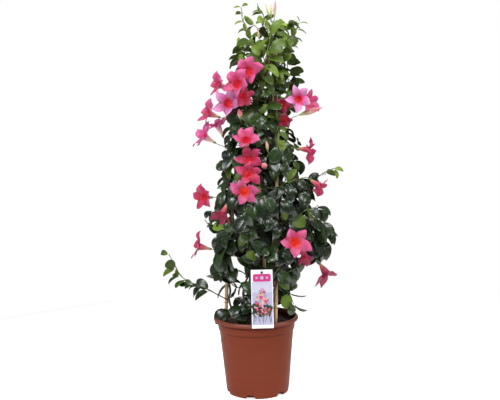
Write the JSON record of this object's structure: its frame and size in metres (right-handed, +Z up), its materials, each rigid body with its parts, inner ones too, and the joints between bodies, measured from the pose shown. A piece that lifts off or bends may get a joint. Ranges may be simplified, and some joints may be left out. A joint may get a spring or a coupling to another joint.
{
  "type": "potted mandevilla",
  "caption": "Flowering mandevilla climber with pink trumpet flowers, twining up three bamboo canes in a round plastic nursery pot.",
  "frame": {"origin": "middle of the pot's flat base, on the surface that the pot stands on", "axes": "+Z up along the pot's axis, -Y to the front, where the label hangs, +X to the right"},
  "size_m": [0.5155, 0.3362, 1.092],
  "materials": {
    "pot_plastic": "terracotta-coloured moulded plastic, satin, fine even grain",
    "soil": "damp dark peat with bark crumbs, matte",
    "bamboo": "dry split-free bamboo cane, satin, darker rings at the nodes",
    "tie": "brown plastic-coated tie",
    "label_card": null,
    "label_stake": "smooth black plastic",
    "petals": "soft pink petal with an orange-red throat, faint sheen",
    "buds": "pale yellow-green bud, pink towards the tip, satin",
    "foliage": "glossy dark green leaf with a paler midrib, lighter at the top of the plant"
  },
  "bodies": {
    "root": {"bud_long_right": "buds", "bud_rolled": "buds", "bud_top_left": "buds", "buds_middle": "buds", "buds_top": "buds", "cane_back": "bamboo", "cane_front": "bamboo", "cane_left": "bamboo", "cane_tie": "tie", "flower_01": "petals", "flower_02": "petals", "flower_03": "petals", "flower_04": "petals", "flower_05": "petals", "flower_06": "petals", "flower_07": "petals", "flower_08": "petals", "flower_09": "petals", "flower_10": "petals", "flower_11": "petals", "flower_12": "petals", "flower_13": "petals", "flower_14": "petals", "flower_15": "petals", "flower_16": "petals", "flower_17": "petals", "flower_18": "petals", "flower_19": "petals", "flower_20": "petals", "flower_21": "petals", "flower_22": "petals", "flower_23": "petals", "flower_24": "petals", "label_card": "label_card", "label_stake": "label_stake", "pot": "pot_plastic", "shoot_low_right": "foliage", "shoot_mid_left": "foliage", "shoot_mid_right": "foliage", "shoot_right": "foliage", "shoot_trailing_left": "foliage", "side_shoot_01": "foliage", "side_shoot_02": "foliage", "side_shoot_03": "foliage", "side_shoot_04": "foliage", "side_shoot_05": "foliage", "side_shoot_06": "foliage", "side_shoot_07": "foliage", "side_shoot_08": "foliage", "side_shoot_09": "foliage", "side_shoot_10": "foliage", "side_shoot_11": "foliage", "side_shoot_12": "foliage", "side_shoot_13": "foliage", "side_shoot_14": "foliage", "soil": "soil", "vine_back": "foliage", "vine_front": "foliage", "vine_left": "foliage", "vine_middle": "foliage"}
  },
  "joints": []
}
